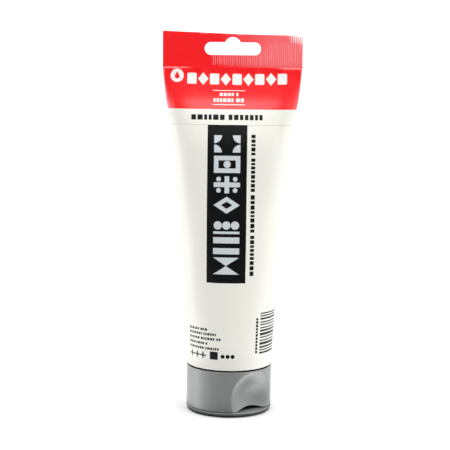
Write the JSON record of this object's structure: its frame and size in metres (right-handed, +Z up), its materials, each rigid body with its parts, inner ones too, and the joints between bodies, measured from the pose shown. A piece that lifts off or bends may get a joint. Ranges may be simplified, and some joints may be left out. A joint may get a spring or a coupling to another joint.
{
  "type": "paint tube",
  "caption": "Squeeze tube for thick paint: flattened plastic sleeve with a hanging slot, standing on a wide screw-on cap with a flip-top lid.",
  "frame": {"origin": "middle of the closed lid's outer face, on the floor that the tube stands on", "axes": "+Z up along the tube from the lid to the pressed end, X along the width of the pressed end, the printed front faces -Y"},
  "size_m": [0.078, 0.05, 0.2145],
  "materials": {
    "sleeve_plastic": "satin",
    "head_plastic": "satin",
    "seal_foil": "satin",
    "paint": "gloss",
    "liner_foam": "matte",
    "cap_plastic": "satin"
  },
  "bodies": {
    "tube": {"tube_sleeve": "sleeve_plastic", "tube_head": "head_plastic", "foil_seal": "seal_foil", "paint_fill": "paint"},
    "washer": {"cap_liner": "liner_foam"},
    "cap": {"cap_body": "cap_plastic", "hinge_strap": "cap_plastic"},
    "lid": {"cap_lid": "cap_plastic"}
  },
  "joints": [
    {"name": "cap_travel", "type": "slide", "parent": "tube", "child": "washer", "axis": [0, 0, -1], "range_m": [0, 0.006]},
    {"name": "cap_turn", "type": "hinge", "parent": "washer", "child": "cap", "pos_m": [0, 0, 0], "axis": [0, 0, -1], "range_deg": [0, 720]},
    {"name": "lid_flip", "type": "hinge", "parent": "cap", "child": "lid", "pos_m": [-0.01419, 0.01816, 0.0028], "axis": [0.788, 0.6157, 0], "range_deg": [0, 165], "deforming": ["hinge_strap"]}
  ],
  "couplings": [
    {"joint": "cap_travel", "follows": "cap_turn", "m_per_rad": 0.00047746}
  ]
}
